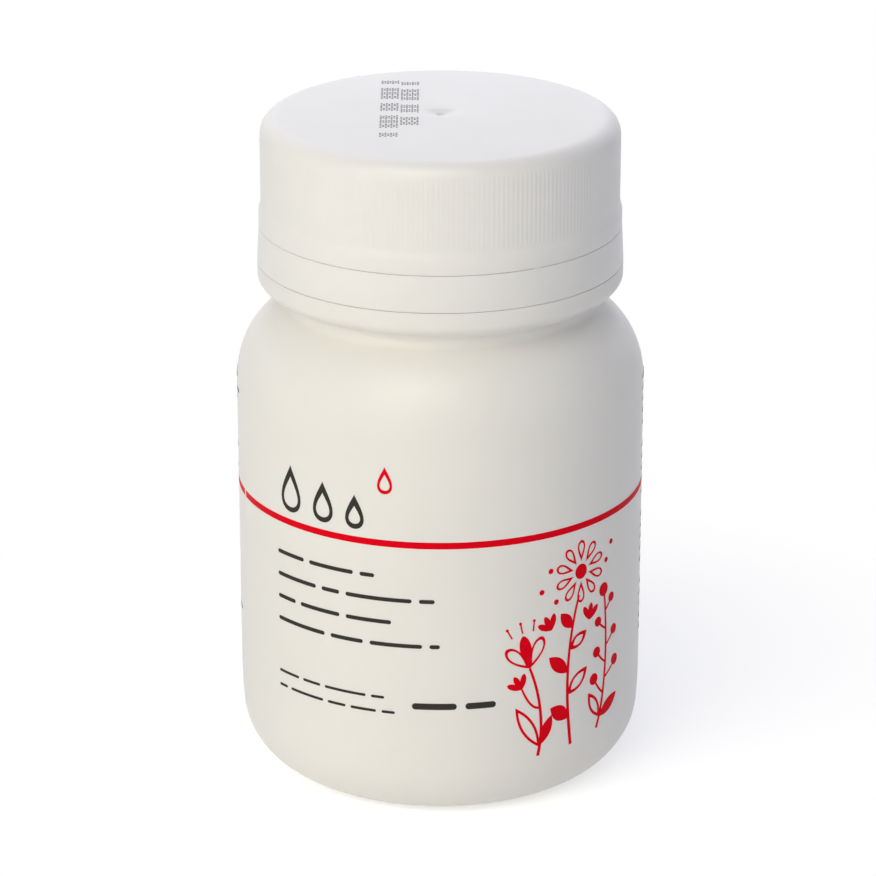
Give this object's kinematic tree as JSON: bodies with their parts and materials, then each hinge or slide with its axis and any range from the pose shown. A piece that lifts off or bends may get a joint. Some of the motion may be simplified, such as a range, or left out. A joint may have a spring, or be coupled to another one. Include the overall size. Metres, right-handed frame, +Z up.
{
  "type": "sponge jar",
  "caption": "Small round screw-cap jar with a tamper band, a foam liner and a finger-hole sponge soaked in remover.",
  "frame": {"origin": "centre of the base, in the plane the jar stands on", "axes": "+Z up along the jar's axis; the printed front faces -Y; +X is to the right of someone who looks at the front"},
  "size_m": [0.048, 0.048, 0.08],
  "materials": {
    "bottle_plastic": "satin",
    "cap_plastic": "satin",
    "liner_foam": "matte",
    "sponge_foam": "matte",
    "remover": "gloss",
    "ink_red": "satin",
    "ink_grey": "satin",
    "code_ink": "matte"
  },
  "bodies": {
    "bottle": {"bottle": "bottle_plastic", "sponge": "sponge_foam", "remover_pool": "remover"},
    "liner": {"cap_liner": "liner_foam"},
    "cap": {"cap": "cap_plastic", "tamper_bridges": "cap_plastic"},
    "band": {"tamper_band": "cap_plastic"}
  },
  "joints": [
    {"name": "cap_lift", "type": "slide", "parent": "bottle", "child": "liner", "axis": [0, 0, 1], "range_m": [0, 0.02521]},
    {"name": "cap_turn", "type": "hinge", "parent": "liner", "child": "cap", "pos_m": [0, 0, 0.07], "axis": [0, 0, 1], "range_deg": [0, 2160]},
    {"name": "band_turn", "type": "hinge", "parent": "bottle", "child": "band", "pos_m": [0, 0, 0.0646], "axis": [0, 0, 1], "continuous": true}
  ],
  "couplings": [
    {"joint": "cap_lift", "follows": "cap_turn", "m_per_rad": 0.00066845}
  ]
}
